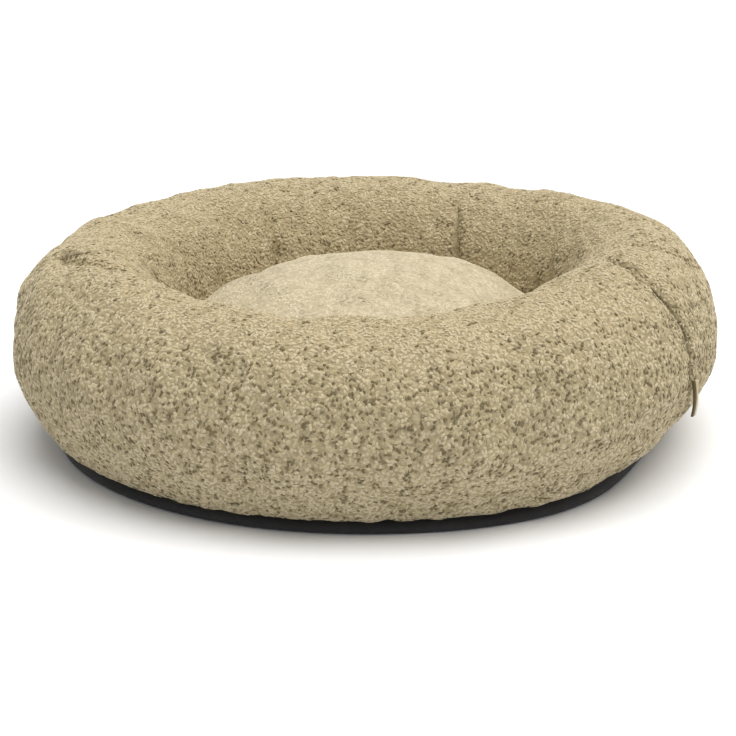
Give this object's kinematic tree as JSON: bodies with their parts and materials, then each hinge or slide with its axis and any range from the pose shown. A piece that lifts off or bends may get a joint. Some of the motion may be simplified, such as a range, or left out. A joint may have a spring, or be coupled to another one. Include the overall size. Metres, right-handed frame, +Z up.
{
  "type": "plush dog bed",
  "caption": "Round dog bed with a filled bolster ring in looped-pile cloth around a domed seat cushion, on a dark cloth sole, with a blank tab in the ring's cross seam.",
  "frame": {"origin": "on the floor, under the middle of the bed's own box", "axes": "+Z up, -Y towards the side that shows the low front of the ring, the cross seam and its tab lie towards +X and a little towards -Y"},
  "size_m": [0.7978, 0.7914, 0.237],
  "materials": {
    "bolster_cloth": "short looped pile in cream and sand with olive-brown flecks",
    "cushion_cloth": "the same looped pile brushed smoother and paler, with faint flecks",
    "sole_cloth": "matt black woven cloth",
    "tab_tape": "folded tan tape with a blank face"
  },
  "bodies": {
    "root": {"bolster": "bolster_cloth", "seat_cushion": "cushion_cloth", "sole": "sole_cloth", "side_tab": "tab_tape"}
  },
  "joints": []
}
